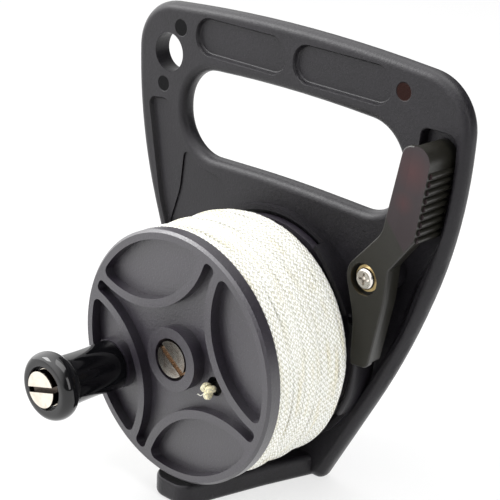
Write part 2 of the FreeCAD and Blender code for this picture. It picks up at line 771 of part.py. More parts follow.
tube("axle_washer", "axle_washer_radius", "axle_screw_radius + screw_fit", AXLE_HEAD_BACK,
     "axle_washer_width")
tube("axle_sleeve", "axle_sleeve_radius", "axle_screw_radius + screw_fit", SLEEVE_FRONT,
     "hub_boss_rise - head_sink - axle_head_height - axle_washer_width + flange_width"
     " + drum_length + rear_flange_width + end_play + thrust_washer_width + end_play")
tube("thrust_washer", "thrust_washer_radius", "axle_sleeve_radius + sleeve_fit",
     SPOOL_BACK + " + end_play", "thrust_washer_width")
nut_blank = hexagon("axle_nut_blank", "axle_nut_flats", PLATE_BACK + " - axle_nut_height",
                    "axle_nut_height", 0.0, "axle_height")
nut_bore = rod("axle_nut_bore", "axle_screw_radius + sleeve_fit",
               PLATE_BACK + " - axle_nut_height", "axle_nut_height")
keep(cut("axle_nut", nut_blank, nut_bore), "axle_nut")

# Front flange: dished disc with bow ribs, hub boss, crank boss and the hub behind it.
flange_disc = rod("flange_disc", "flange_radius", FLANGE_FACE, "flange_width")
doc.recompute()
flange_bevelled = doc.addObject("Part::Chamfer", "flange_bevelled")
flange_bevelled.Base = flange_disc
flange_bevelled.Edges = [
    (number, amount("flange_bevel"), amount("flange_bevel"))
    for number, edge in enumerate(flange_disc.Shape.Edges, start=1)
    if abs(edge.BoundBox.YMax - amount(FLANGE_FACE)) < NEAR and edge.Closed]
dish = rod("dish", DISH, FLANGE_FACE, "dish_depth")
flange_dished = cut("flange_dished", flange_bevelled, dish)


def bow(number):
    """One bow rib: a ring that bulges towards the hub, inside the dish."""
    angle = math.radians(amount("bow_angle") + 360.0 / amount("bow_count") * number)
    x = amount(BOW_CENTRE) * math.cos(angle)
    z = AXLE_Z + amount(BOW_CENTRE) * math.sin(angle)
    outside = rod(f"bow_outside_{number}", "bow_radius", FLANGE_FACE, "dish_depth", x, z)
    inside = rod(f"bow_inside_{number}", "bow_radius - bow_width", FLANGE_FACE, "dish_depth", x, z)
    return cut(f"bow_{number}", outside, inside)


bows = fuse("bows", [bow(number) for number in range(int(amount("bow_count")))])
bows_in_dish = common("bows_in_dish", bows, rod("bow_limit", DISH, FLANGE_FACE,
                                                "dish_depth"))
flange_ribbed = fuse("flange_ribbed", [flange_dished, bows_in_dish])
doc.recompute()


def dish_corners(shape):
    """The upright corners of the dish's pockets with their radii: lens ends and arm ends."""
    half_step = 180.0 / amount("bow_count")
    for number, edge in enumerate(shape.Edges, start=1):
        box = edge.BoundBox
        x = edge.Vertexes[0].X
        rise = edge.Vertexes[0].Z - AXLE_Z
        off_edge = abs(math.hypot(x, rise) - amount(DISH))
        if box.XLength + box.ZLength > NEAR or off_edge > NEAR:
            continue
        angle = math.degrees(math.atan2(rise, x)) - amount("bow_angle")
        off_bow = abs((angle + half_step) % (2 * half_step) - half_step)
        edge_angle = bow_end_angle(amount("bow_radius") - amount("bow_width"))
        radius = "lens_corner_radius" if abs(off_bow - edge_angle) < 1.0 else "arm_corner_radius"
        yield number, amount(radius), amount(radius)


def bow_end_angle(radius):
    """The angle at the axle between a bow's middle and the place where it meets the dish."""
    dish_edge = amount(DISH)
    centre = amount(BOW_CENTRE)
    share = (centre ** 2 + dish_edge ** 2 - radius ** 2) / (2 * centre * dish_edge)
    return math.degrees(math.acos(share))


flange_rounded = doc.addObject("Part::Fillet", "flange_rounded")
flange_rounded.Base = flange_ribbed
flange_rounded.Edges = list(dish_corners(flange_ribbed.Shape))
hub_boss = rod("hub_boss", "hub_boss_radius", HUB_FACE, "hub_boss_rise + flange_width")
crank_boss = rod("crank_boss", "crank_boss_radius", FLANGE_FACE, "flange_width", CRANK_X, CRANK_Z)
hub = rod("hub", "hub_radius", DRUM_FRONT, "drum_length")
flange_blank = fuse("flange_blank", [flange_rounded, hub_boss, crank_boss, hub])
head_recess = rod("head_recess", "head_recess_radius", HUB_FACE,
                  "head_sink + axle_head_height + axle_washer_width + end_play")
hub_bore = rod("hub_bore", "axle_sleeve_radius + sleeve_fit", HUB_FACE,
               "hub_boss_rise + flange_width + drum_length")
line_hole = rod("line_hole", "line_hole_radius", FLANGE_FACE, "flange_width", "line_hole_x",
                LINE_HOLE_Z)
crank_hole = rod("crank_hole", "knob_screw_radius + screw_fit", FLANGE_FACE, "flange_width",
                 CRANK_X, CRANK_Z)
knob_nut_pocket = hexagon("knob_nut_pocket", "knob_nut_flats + nut_fit + nut_fit",
                          DRUM_FRONT + " - knob_nut_height", "knob_nut_height", CRANK_X, CRANK_Z)


def flange_screw_places():
    count = int(amount("flange_screw_count"))
    circle = amount("flange_screw_circle")
    for number in range(count):
        angle = math.radians(90.0 + 360.0 / count * number)
        yield number, circle * math.cos(angle), AXLE_Z + circle * math.sin(angle)


screw_holes = []
for number, x, z in flange_screw_places():
    screw_holes.append(rod(f"flange_screw_hole_{number}", "flange_screw_radius + sleeve_fit",
                           DRUM_BACK + " - flange_screw_length",
                           "flange_screw_length + rear_flange_width", x, z))
hub_holes = fuse("hub_holes", screw_holes)
front_flange = cut("front_flange", flange_blank, head_recess, hub_bore, line_hole, crank_hole,
                   knob_nut_pocket, hub_holes)
keep(front_flange, "front_flange")

# Rear flange, and its countersunk screws into the hub.
rear_disc = rod("rear_disc", REAR_FLANGE, DRUM_BACK, "rear_flange_width")
rear_bore = rod("rear_bore", "axle_sleeve_radius + sleeve_fit", DRUM_BACK, "rear_flange_width")


def countersink(name, x, z, room):
    """The flared head of a countersunk screw, flush with the rear flange's back."""
    thing = doc.addObject("Part::Cone", name)
    bind(thing, Radius1="flange_screw_radius" + room, Radius2="flange_screw_head_radius" + room,
         Height="flange_screw_head_height")
    stand(thing, x, SPOOL_BACK + " - flange_screw_head_height", z, ALONG_Y)
    return thing


screws = []
sinks = []
for number, x, z in flange_screw_places():
    shank = rod(f"flange_screw_shank_{number}", "flange_screw_radius",
                SPOOL_BACK + " - flange_screw_length", "flange_screw_length", x, z)
    head = countersink(f"flange_screw_head_{number}", x, z, "")
    screws.append(fuse(f"flange_screw_{number}", [shank, head]))
    sinks.append(countersink(f"flange_screw_sink_{number}", x, z, " + sleeve_fit"))
keep(cut("rear_flange", rear_disc, rear_bore, hub_holes, *sinks), "rear_flange")
flange_screws = doc.addObject("Part::Compound", "flange_screws")
flange_screws.Links = screws
keep(flange_screws, "flange_screws")

# Wound line: a plain core of inner layers whose rear shoulder turns in to the rear flange,
# and one outer layer of turns that follows its profile.
line_radius = amount("line_diameter") / 2
core_radius = amount(WINDING + " - line_diameter - layer_gap")
bend_radius = amount("winding_bend_radius")
bend_angle = math.radians(amount("winding_bend_angle"))
winding_front = amount(DRUM_FRONT) + amount("winding_end_gap")
winding_back = amount(DRUM_BACK) - amount("winding_end_gap")
flat_end = winding_front + amount("winding_flat_length")


def winding_profile(along, lift):
    """Place along Y, radius and slope angle of the winding, lifted off the core's surface."""
    flat = amount("winding_flat_length") - line_radius
    turn = bend_angle * (bend_radius + lift)
    if along <= flat:
        return winding_front + line_radius + along, core_radius + lift, 0.0
    angle = min((along - flat) / (bend_radius + lift), bend_angle)
    y = flat_end + math.sin(angle) * (bend_radius + lift)
    radius = core_radius - bend_radius + math.cos(angle) * (bend_radius + lift)
    rest = max(along - flat - turn, 0.0)
    return y + rest * math.cos(angle), radius - rest * math.sin(angle), angle


bend_y = flat_end + math.sin(bend_angle) * bend_radius
bend_r = core_radius - bend_radius + math.cos(bend_angle) * bend_radius
half_y = flat_end + math.sin(bend_angle / 2) * bend_radius
half_r = core_radius - bend_radius + math.cos(bend_angle / 2) * bend_radius
end_r = bend_r - (winding_back - bend_y) * math.tan(bend_angle)
core_bore = amount("hub_radius") + amount("sleeve_fit")
core_edges = lines([(end_r, winding_back), (core_bore, winding_back), (core_bore, winding_front),
                    (core_radius, winding_front), (core_radius, flat_end)])
core_edges.append(Part.Arc(Vector(core_radius, flat_end, 0), Vector(half_r, half_y, 0),
                           Vector(bend_r, bend_y, 0)))
core_edges += lines([(bend_r, bend_y), (end_r, winding_back)])
keep(turned("line_core", core_edges, 0.0), "line_core")

quarters = int(amount("line_loops")) * 4
lift = line_radius + amount("layer_gap")
path = []
tangents = []
for k in range(quarters + 1):
    angle = math.pi / 2 * k
    along = amount("line_lead") * k / 4
    y, radius, slope = winding_profile(along, lift)
    outward = Vector(math.cos(angle), 0, math.sin(angle))
    forward = Vector(-math.sin(angle), 0, math.cos(angle))
    path.append(outward * radius + Vector(0, y, AXLE_Z))
    pitch = amount("line_lead") / (2 * math.pi)
    drift = Vector(0, math.cos(slope), 0) - outward * math.sin(slope)
    tangents.append((forward * radius + drift * pitch).normalize())


def dive(place, heading, sign):
    """A quarter bend from the winding towards the axle and a straight end, one wire long."""
    down = Vector(-place.x, 0, AXLE_Z - place.z).normalize()
    ahead = heading * sign
    radius = amount("line_diameter")
    corner = place + ahead * radius + down * radius
    mid = place + ahead * (radius * math.sin(math.pi / 4)) + down * (
        radius * (1 - math.cos(math.pi / 4)))
    end = corner + down * amount("line_diameter")
    if sign > 0:
        return [Part.Arc(place, mid, corner), Part.LineSegment(corner, end)]
    return [Part.LineSegment(end, corner), Part.Arc(corner, mid, place)]


turns_shape, turns_spine = wound(path, tangents, line_radius,
                                 dive(path[0], tangents[0], -1),
                                 dive(path[-1], tangents[-1], 1))
print("line turns: length mm", round(turns_spine.Length, 1), "least gap mm",
      round(least_gap(turns_spine, line_radius, core_radius * 4), 3))
keep(piece("line_turns", turns_shape), "line_turns")

# Knot of the line's inner end, drawn through the hole in the flange's floor.
knot_floor = amount(FLANGE_FACE) + amount("dish_depth")
knot_centre = Vector(amount("line_hole_x"), knot_floor - amount("knot_rise"),
                     amount(LINE_HOLE_Z))
loop_radius = amount("line_hole_radius") - line_radius
knot, second_loop = [Part.makeTorus(loop_radius, line_radius, knot_centre, Vector(*axis))
                     for axis in KNOT_LOOPS]
stub = Part.makeCylinder(line_radius, amount(DRUM_FRONT) - knot_centre.y, knot_centre,
                         Vector(0, 1, 0))
tail = Part.makeCylinder(amount("knot_tail_radius"), amount("line_hole_radius") * 2,
                         knot_centre, Vector(*KNOT_TAIL))
keep(piece("line_knot", knot.fuse([second_loop, stub, tail]).removeSplitter()), "line_knot")

# Crank knob with its sleeve, screw, washer and nut.
face = -amount("stem_gap")
stem_end = -amount("stem_length")
collar_end = stem_end - amount("collar_width")
bulb_start = collar_end - amount("neck_length")
bulb_end = bulb_start - amount("bulb_length")
bore = amount("knob_sleeve_radius") + amount("sleeve_fit")
recess_floor = bulb_end - amount("knob_head_proud") + amount("knob_head_height")
recess_floor += amount("knob_washer_width") + amount("end_play")
stem = amount("stem_radius")
stem_middle = Vector(stem - amount("stem_waist"), (face + stem_end) / 2, 0)
recess = amount("knob_recess_radius")
bulb_edge = amount("bulb_edge_radius")
knob_edges = lines([(bore, recess_floor), (bore, face), (stem, face)])
knob_edges.append(Part.Arc(Vector(stem, face, 0), stem_middle, Vector(stem, stem_end, 0)))
knob_edges += lines([(stem, stem_end), (amount("collar_radius"), stem_end),
                     (amount("collar_radius"), collar_end), (stem, collar_end),
                     (bulb_edge, bulb_start)])
knob_edges.append(Part.Arc(Vector(bulb_edge, bulb_start, 0),
                           Vector(amount("bulb_radius"), (bulb_start + bulb_end) / 2, 0),
                           Vector(bulb_edge, bulb_end, 0)))
knob_edges += lines([(bulb_edge, bulb_end), (recess, bulb_end), (recess, recess_floor),
                     (bore, recess_floor)])
keep(turned("crank_knob", knob_edges, FLANGE_FACE, CRANK_X, CRANK_Z), "crank_knob")

KNOB_STACK = "stem_length + collar_width + neck_length + bulb_length + knob_head_proud"
tube("knob_sleeve", "knob_sleeve_radius", "knob_screw_radius + screw_fit", KNOB_SLEEVE_FRONT,
     KNOB_STACK + " - knob_head_height - knob_washer_width", CRANK_X, CRANK_Z)
tube("knob_washer", "knob_washer_radius", "knob_screw_radius + screw_fit", KNOB_HEAD_BACK,
     "knob_washer_width", CRANK_X, CRANK_Z)
knob_head = rod("knob_head", "axle_head_radius", KNOB_HEAD_FACE, "knob_head_height",
                CRANK_X, CRANK_Z)
knob_shank = rod("knob_shank", "knob_screw_radius", KNOB_HEAD_BACK,
                 KNOB_STACK + " - knob_head_height + flange_width - end_play", CRANK_X, CRANK_Z)
knob_slot = driver_slot("knob_slot", "axle_head_radius", KNOB_HEAD_FACE, CRANK_X, CRANK_Z,
                        amount("knob_slot_angle"))
keep(cut("knob_screw", fuse("knob_screw_blank", [knob_head, knob_shank]), knob_slot),
     "knob_screw")
knob_nut_blank = hexagon("knob_nut_blank", "knob_nut_flats", DRUM_FRONT + " - knob_nut_height",
                         "knob_nut_height", CRANK_X, CRANK_Z)
knob_nut_bore = rod("knob_nut_bore", "knob_screw_radius + sleeve_fit",
                    DRUM_FRONT + " - knob_nut_height", "knob_nut_height", CRANK_X, CRANK_Z)
keep(cut("knob_nut", knob_nut_blank, knob_nut_bore), "knob_nut")

# Thumb lever: a front plate with arm and tail, a body behind it outside the ring wall,
# and the deep ribbed pad.
lever_outline = placed("lever", amount(RING))
lever_plate_blank = slab("lever_plate_blank", lever_outline, LEVER_FACE, "lever_plate_width")
crease_low, crease_high = [Vector(amount(RING) + x, amount(LEVER_FACE), AXLE_Z + rise)
                           for x, rise in reversed(CREASE)]
along_crease = crease_high - crease_low
crease_turn = FreeCAD.Rotation(Vector(0, 1, 0), math.degrees(math.atan2(along_crease.x,
                                                                        along_crease.z)))
crease_turn = crease_turn * FreeCAD.Rotation(Vector(0, 0, 1), amount("crease_tilt"))
crease_cut = doc.addObject("Part::Box", "crease_cut")
crease_side = amount("shoulder_half_width")
crease_cut.Length = crease_side
crease_cut.Height = crease_side * 2
bind(crease_cut, Width="lever_front")
crease_cut.Placement = FreeCAD.Placement(
    crease_low + crease_turn.multVec(Vector(0, -amount("lever_front"), -crease_side)), crease_turn)
lever_plate_creased = cut("lever_plate_creased", lever_plate_blank, crease_cut)
doc.recompute()
lever_plate = doc.addObject("Part::Fillet", "lever_plate")
lever_plate.Base = lever_plate_creased
front_edges = []
for number, edge in enumerate(lever_plate_creased.Shape.Edges, start=1):
    ends = edge.Vertexes[-1].Point - edge.Vertexes[0].Point
    across = ends.Length > amount("lever_plate_width") and abs(
        ends.normalize().cross(along_crease).Length) < NEAR * along_crease.Length
    if edge.BoundBox.YMax < amount(LEVER_PLATE_BACK) - NEAR and not across:
        front_edges.append((number, amount("lever_rounding"), amount("lever_rounding")))
lever_plate.Edges = front_edges
lever_body_blank = slab("lever_body_blank", grown(lever_outline, -amount("lever_body_inset")),
                        LEVER_PLATE_BACK, "lever_depth - lever_plate_width")
body_limit = rod("body_limit", RING + " + lever_ring_clearance", LEVER_PLATE_BACK,
                 "lever_depth - lever_plate_width")
lever_body = cut("lever_body", lever_body_blank, body_limit)
pad_top_x, pad_top_rise, pad_top_radius = lever_outline[5]
pad_low_x, pad_low_rise, pad_low_radius = lever_outline[6]
pad_width = amount("pad_width")
pad = slab("pad", [
    (pad_top_x - pad_width, pad_top_rise, amount("pad_top_radius")),
    (pad_top_x, pad_top_rise, pad_top_radius),
    (pad_low_x, pad_low_rise, pad_low_radius),
    (pad_low_x - pad_width, pad_low_rise, amount("pad_low_radius")),
], LEVER_FACE, "pad_depth")
ribs = []
for number in range(int(amount("pad_rib_count"))):
    drop = amount("pad_rib_drop") + amount("pad_rib_pitch") * number
    share = drop / (pad_top_rise - pad_low_rise)
    x = pad_top_x + (pad_low_x - pad_top_x) * share
    ribs.append(rod(f"pad_rib_{number}", "pad_rib_radius", LEVER_FACE + " + lever_plate_width/2",
                    "pad_depth - lever_plate_width", x, AXLE_Z + pad_top_rise - drop))
lever_blank = fuse("lever_blank", [lever_plate, lever_body, pad] + ribs)
lever_recess = rod("lever_recess", "lever_recess_radius", LEVER_FACE, "lever_recess_depth",
                   PIVOT_X, PIVOT_Z)
lever_bore = rod("lever_bore", "bush_radius + sleeve_fit", LEVER_FACE, "lever_depth", PIVOT_X,
                 PIVOT_Z)
spring_room = rod("spring_room", "spring_room_radius", SPRING_ROOM_FRONT, "spring_room_depth",
                  PIVOT_X, PIVOT_Z)
leg_hole_front = rod("leg_hole_front", "spring_wire/2 + spring_leg_room", LEVER_SEAT,
                     "lever_depth - lever_recess_depth - spring_room_depth",
                     PIVOT_X + " + spring_wire", PIVOT_Z + " + spring_radius")
shoe_seat = block("shoe_seat", RING_INSIDE, LEVER_BACK + " - shoe_width",
                  "axle_height + shoe_rise - shoe_height/2",
                  "shoe_hold + ring_wall", "shoe_width", "shoe_height")
keep(cut("thumb_lever", lever_blank, lever_recess, lever_bore, spring_room, leg_hole_front,
         shoe_seat), "thumb_lever")

shoe_blank = block("shoe_blank", REAR_FLANGE + " - ring_wall", LEVER_BACK + " - shoe_width",
                   "axle_height + shoe_rise - shoe_height/2",
                   "shoe_hold + ring_wall + rear_flange_gap + ring_wall", "shoe_width",
                   "shoe_height")
shoe_round = rod("shoe_round", REAR_FLANGE + " + shoe_gap", LEVER_BACK + " - shoe_width",
                 "shoe_width")
keep(cut("brake_shoe", shoe_blank, shoe_round), "brake_shoe")

# The lever's bush, screw, washer and insert, and the torsion spring round the bush.
tube("lever_bush", "bush_radius", "lever_screw_radius + screw_fit", BUSH_FRONT,
     "lever_depth - lever_recess_depth + end_play + lever_boss_gap", PIVOT_X, PIVOT_Z)
tube("lever_washer", "lever_washer_radius", "lever_screw_radius + screw_fit", LEVER_HEAD_BACK,
     "lever_washer_width", PIVOT_X, PIVOT_Z)
tube("lever_insert", "insert_radius", "lever_screw_radius + sleeve_fit", LEVER_BOSS_FACE,
     "insert_length", PIVOT_X, PIVOT_Z)
pan_head = rod("pan_head", "lever_head_radius", LEVER_HEAD_BACK + " - lever_head_height",
               "lever_head_height", PIVOT_X, PIVOT_Z)
doc.recompute()
pan_round = doc.addObject("Part::Fillet", "pan_round")
pan_round.Base = pan_head
pan_front = amount(LEVER_HEAD_BACK) - amount("lever_head_height")
pan_radius = amount("lever_head_rounding")
pan_round.Edges = [
    (number, pan_radius, pan_radius)
    for number, edge in enumerate(pan_head.Shape.Edges, start=1)
    if abs(edge.BoundBox.YMax - pan_front) < NEAR and edge.Closed]
lever_shank = rod("lever_shank", "lever_screw_radius", LEVER_HEAD_BACK,
                  "lever_washer_width + end_play + lever_depth - lever_recess_depth"
                  " + lever_boss_gap + insert_length - screw_fit", PIVOT_X, PIVOT_Z)
cross = []
for name, wide, high in (("cross_level", "cross_length", "cross_width"),
                         ("cross_upright", "cross_width", "cross_length")):
    cross.append(block(name, f"{PIVOT_X} - {wide}/2", LEVER_HEAD_BACK + " - lever_head_height",
                       f"{PIVOT_Z} - {high}/2", wide, "cross_depth", high))
keep(cut("lever_screw", fuse("lever_screw_blank", [pan_round, lever_shank]), *cross),
     "lever_screw")

wire = amount("spring_wire") / 2
coil_radius = amount("spring_radius")
pivot = Vector(amount(PIVOT_X), 0, amount(PIVOT_Z))
first_y = amount(SPRING_ROOM_FRONT) + wire + amount("screw_fit")
path = []
tangents = []
quarters = int(amount("spring_turns") * 4)
for k in range(quarters + 1):
    angle = math.pi / 2 * (k + 1)
    y = first_y + amount("spring_lead") * k / 4
    outward = Vector(math.cos(angle), 0, math.sin(angle))
    forward = Vector(-math.sin(angle), 0, math.cos(angle))
    path.append(pivot + outward * coil_radius + Vector(0, y, 0))
    rise = Vector(0, amount("spring_lead") / (2 * math.pi), 0)
    tangents.append((forward * coil_radius + rise).normalize())


def leg(place, heading, sign):
    """A quarter bend into a leg along Y, forwards at the first end, back at the last."""
    side = Vector(0, sign, 0)
    ahead = heading * sign
    radius = amount("spring_wire")
    corner = place + ahead * radius + side * radius
    mid = place + ahead * (radius * math.sin(math.pi / 4)) + side * (
        radius * (1 - math.cos(math.pi / 4)))
    end = corner + side * amount("spring_leg")
    if sign > 0:
        return [Part.Arc(place, mid, corner), Part.LineSegment(corner, end)]
    return [Part.LineSegment(end, corner), Part.Arc(corner, mid, place)]


spring_shape, spring_spine = wound(path, tangents, wire, leg(path[0], tangents[0], -1),
                                   leg(path[-1], tangents[-1], 1))
print("lever spring: least gap mm",
      round(least_gap(spring_spine, wire, coil_radius * 4), 3))
keep(piece("lever_spring", spring_shape), "lever_spring")

doc.recompute()
faults = []
for thing in doc.Objects:
    if "Invalid" in thing.State or "Error" in thing.State:
        faults.append(f"{thing.Name}: {thing.State}")
for node in nodes:
    shape = node.Shape
    if shape.isNull() or not shape.isValid() or not shape.Solids:
        faults.append(f"{node.Label}: no valid solid")
if faults:
    raise RuntimeError("; ".join(faults))

os.makedirs("parts", exist_ok=True)
for node in nodes:
    node.Shape.exportStep(f"parts/{node.Label}.step")
    box = node.Shape.BoundBox
    print(f"{node.Label:15s} solids {len(node.Shape.Solids)}  volume {node.Shape.Volume:10.1f}"
          f"  x {box.XMin:7.2f} {box.XMax:7.2f}  y {box.YMin:7.2f} {box.YMax:7.2f}"
          f"  z {box.ZMin:7.2f} {box.ZMax:7.2f}")
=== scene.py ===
import math

import bpy
import numpy as np
from mathutils import Matrix, Vector


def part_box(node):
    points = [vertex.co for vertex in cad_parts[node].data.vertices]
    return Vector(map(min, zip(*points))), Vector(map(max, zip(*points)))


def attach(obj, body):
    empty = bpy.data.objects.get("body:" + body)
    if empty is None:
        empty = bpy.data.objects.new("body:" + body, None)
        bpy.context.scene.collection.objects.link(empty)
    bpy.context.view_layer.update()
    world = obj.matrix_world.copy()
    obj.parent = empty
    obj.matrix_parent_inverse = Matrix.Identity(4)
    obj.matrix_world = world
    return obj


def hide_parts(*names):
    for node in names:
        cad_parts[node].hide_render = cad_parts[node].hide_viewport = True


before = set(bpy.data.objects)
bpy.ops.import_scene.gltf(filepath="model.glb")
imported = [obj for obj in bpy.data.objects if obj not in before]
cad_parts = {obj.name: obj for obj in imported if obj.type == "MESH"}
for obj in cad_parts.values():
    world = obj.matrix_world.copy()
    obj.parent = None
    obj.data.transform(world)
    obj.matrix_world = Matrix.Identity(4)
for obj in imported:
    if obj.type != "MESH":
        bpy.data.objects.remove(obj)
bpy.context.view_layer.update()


# ---- Moulded frame ----
# The hand frame is one moulding of black glass-filled nylon. Its tool was spark-eroded, which
# gives a fine matte grain, and round witness marks show where the ejector pins pushed. The real
# grain is about 0.3 mm: it is drawn at 0.9 mm, so that it shows.
MM = 0.001
AXLE_HEIGHT = 53.5
PLATE_FACE = 37.25


def colour(code):
    """An sRGB hex value turned to linear, each channel by the sRGB curve."""
    channels = np.array([int(code[k:k + 2], 16) for k in (1, 3, 5)]) / 255.0
    linear = np.where(channels <= 0.04045, channels / 12.92, ((channels + 0.055) / 1.055) ** 2.4)
    return (*linear.tolist(), 1.0)


def add(tree, kind, values=None, links=None):
    """Adds a shader node, sets its sockets or properties by name, and links its inputs."""
    made = tree.nodes.new("ShaderNode" + kind)
    for name, value in (values or {}).items():
        if not isinstance(name, int) and name not in made.inputs:
            setattr(made, name, value)
    for name, value in (values or {}).items():
        if isinstance(name, int) or name in made.inputs:
            made.inputs[name].default_value = value
    for name, output in (links or {}).items():
        tree.links.new(output, made.inputs[name])
    return made


def blank_material(name):
    """A material with an empty node tree."""
    material = bpy.data.materials.new(name)
    material.use_nodes = True
    material.node_tree.nodes.clear()
    return material, material.node_tree


def clothe(piece, material):
    """Gives every material slot of a piece the one material."""
    if not piece.data.materials:
        piece.data.materials.append(material)
    for place in piece.material_slots:
        place.material = material


def grained_plastic(name, dark, light, roughness, specular, grain_mm, depth_mm, index=1.5,
                    speck=0.0, marks_and_reflections=(), painted_facet_reflection=None):
    """Moulded plastic: two near colours by clouds of about 18 mm, and a grain that bumps the
    surface. Marks are round ejector witnesses, dented and duller, or, with no dent, round
    painted reflections (x, rise, radius, soft edge, colour, dent), on the faces that look
    forward. The painted facet reflection is a warm colour on those faces past a slanting line
    (point, direction, colour), in place of the light that a bent facet catches."""
    material, tree = blank_material(name)
    place = add(tree, "TexCoord").outputs["Object"]
    cloud = add(tree, "TexNoise", {"Scale": 55.0, "Detail": 3.0}, {"Vector": place})
    grain = add(tree, "TexNoise", {"Scale": 1000.0 / grain_mm, "Detail": 2.0, "Roughness": 0.7},
                {"Vector": place})
    both = add(tree, "Math", {"operation": "MULTIPLY_ADD", 1: 0.5},
               {0: cloud.outputs["Fac"], 2: grain.outputs["Fac"]}).outputs[0]
    span = add(tree, "MapRange", {"From Min": 0.45, "From Max": 1.05}, {"Value": both})
    tint = add(tree, "Mix", {"data_type": "RGBA", 6: colour(dark), 7: colour(light)},
               {0: span.outputs[0]}).outputs[2]
    front = add(tree, "VectorMath", {"operation": "DOT_PRODUCT", 1: (0.0, -1.0, 0.0)},
                {0: add(tree, "NewGeometry").outputs["Normal"]})
    faces_front = add(tree, "MapRange", {"From Min": 0.9, "From Max": 0.97},
                      {"Value": front.outputs["Value"]}).outputs[0]
    if painted_facet_reflection:
        (x, rise), (across, up), tone = painted_facet_reflection
        slope = add(tree, "VectorMath", {"operation": "DOT_PRODUCT", 1: (across, 0.0, up)}, {0: place})
        start = (across * x + up * (rise + AXLE_HEIGHT)) * MM
        past = add(tree, "MapRange", {"From Min": start - 0.3 * MM, "From Max": start + 0.3 * MM},
                   {"Value": slope.outputs["Value"]})
        painted_reflection_mask = add(tree, "Math", {"operation": "MULTIPLY"}, {0: past.outputs[0], 1: faces_front})
        tint = add(tree, "Mix", {"data_type": "RGBA", 7: colour(tone)},
                   {0: painted_reflection_mask.outputs[0], 6: tint}).outputs[2]
    if speck:
        dots = add(tree, "TexVoronoi", {"Scale": 1000.0 / 0.8}, {"Vector": place})
        near = add(tree, "MapRange", {"From Min": 0.12, "From Max": 0.05, "To Max": speck},
                   {"Value": dots.outputs["Distance"]})
        tint = add(tree, "Mix", {"data_type": "RGBA", 7: colour("#6d6b70")},
                   {0: near.outputs[0], 6: tint}).outputs[2]
    height = grain.outputs["Fac"]
    rough = add(tree, "MapRange", {"From Min": 0.5, "From Max": 1.0, "To Min": roughness - 0.06,
                                   "To Max": roughness + 0.06}, {"Value": both}).outputs[0]
    axes = add(tree, "SeparateXYZ", {}, {0: place})
    flat = add(tree, "CombineXYZ", {}, {0: axes.outputs[0], 2: axes.outputs[2]})
    worn = None
    # Dented marks are ejector witnesses; marks with no dent are painted reflections.
    for x, rise, radius, soft, tone, dent in marks_and_reflections:
        centre = (x * MM, 0.0, (rise + AXLE_HEIGHT) * MM)
        away = add(tree, "VectorMath", {"operation": "DISTANCE", 1: centre}, {0: flat.outputs[0]})
        disc = add(tree, "MapRange", {"From Min": radius * MM, "From Max": (radius - soft) * MM},
                   {"Value": away.outputs["Value"]})
        disc = add(tree, "Math", {"operation": "MULTIPLY"}, {0: disc.outputs[0], 1: faces_front})
        tint = add(tree, "Mix", {"data_type": "RGBA", 7: colour(tone)},
                   {0: disc.outputs[0], 6: tint}).outputs[2]
        lower = add(tree, "Math", {"operation": "MULTIPLY", 1: -dent}, {0: disc.outputs[0]})
        height = add(tree, "Math", {"operation": "ADD"}, {0: height, 1: lower.outputs[0]}).outputs[0]
        if dent:
            before = {1: worn} if worn else {}
            worn = add(tree, "Math", {"operation": "ADD", 1: 0.0},
                       {0: disc.outputs[0], **before}).outputs[0]
    sheen = {}
    if worn:
        rough = add(tree, "MapRange", {"To Max": roughness + 0.2},
                    {"Value": worn, "To Min": rough}).outputs[0]
        sheen["Specular IOR Level"] = add(tree, "MapRange", {"To Min": specular, "To Max": 0.05},
                                          {"Value": worn}).outputs[0]
    bump = add(tree, "Bump", {"Strength": 0.6, "Distance": depth_mm * MM}, {"Height": height})
    shader = add(tree, "BsdfPrincipled", {"IOR": index, "Specular IOR Level": specular},
                 {"Base Color": tint, "Roughness": rough, "Normal": bump.outputs[0], **sheen})
    add(tree, "OutputMaterial", {}, {"Surface": shader.outputs[0]})
    return material


nylon = grained_plastic("moulded glass-filled nylon", "#0c0b0e", "#1c1a1e", 0.43, 0.22, 0.9, 0.16,
                        marks_and_reflections=[(-52.5, 95.0, 3.2, 0.4, "#0a0a0b", 5.0),
                               (-60.5, 73.0, 3.0, 0.4, "#0a0a0b", 5.0),
                               (48.5, 94.5, 3.2, 0.4, "#22120f", 5.0)])
clothe(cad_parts["frame"], nylon)


# ---- Screws, washers, nuts and sleeves ----
# Stainless fasteners turned on a lathe: fine rings round each axis, a little tarnish in them.
SLOT_DEPTH = 2.2


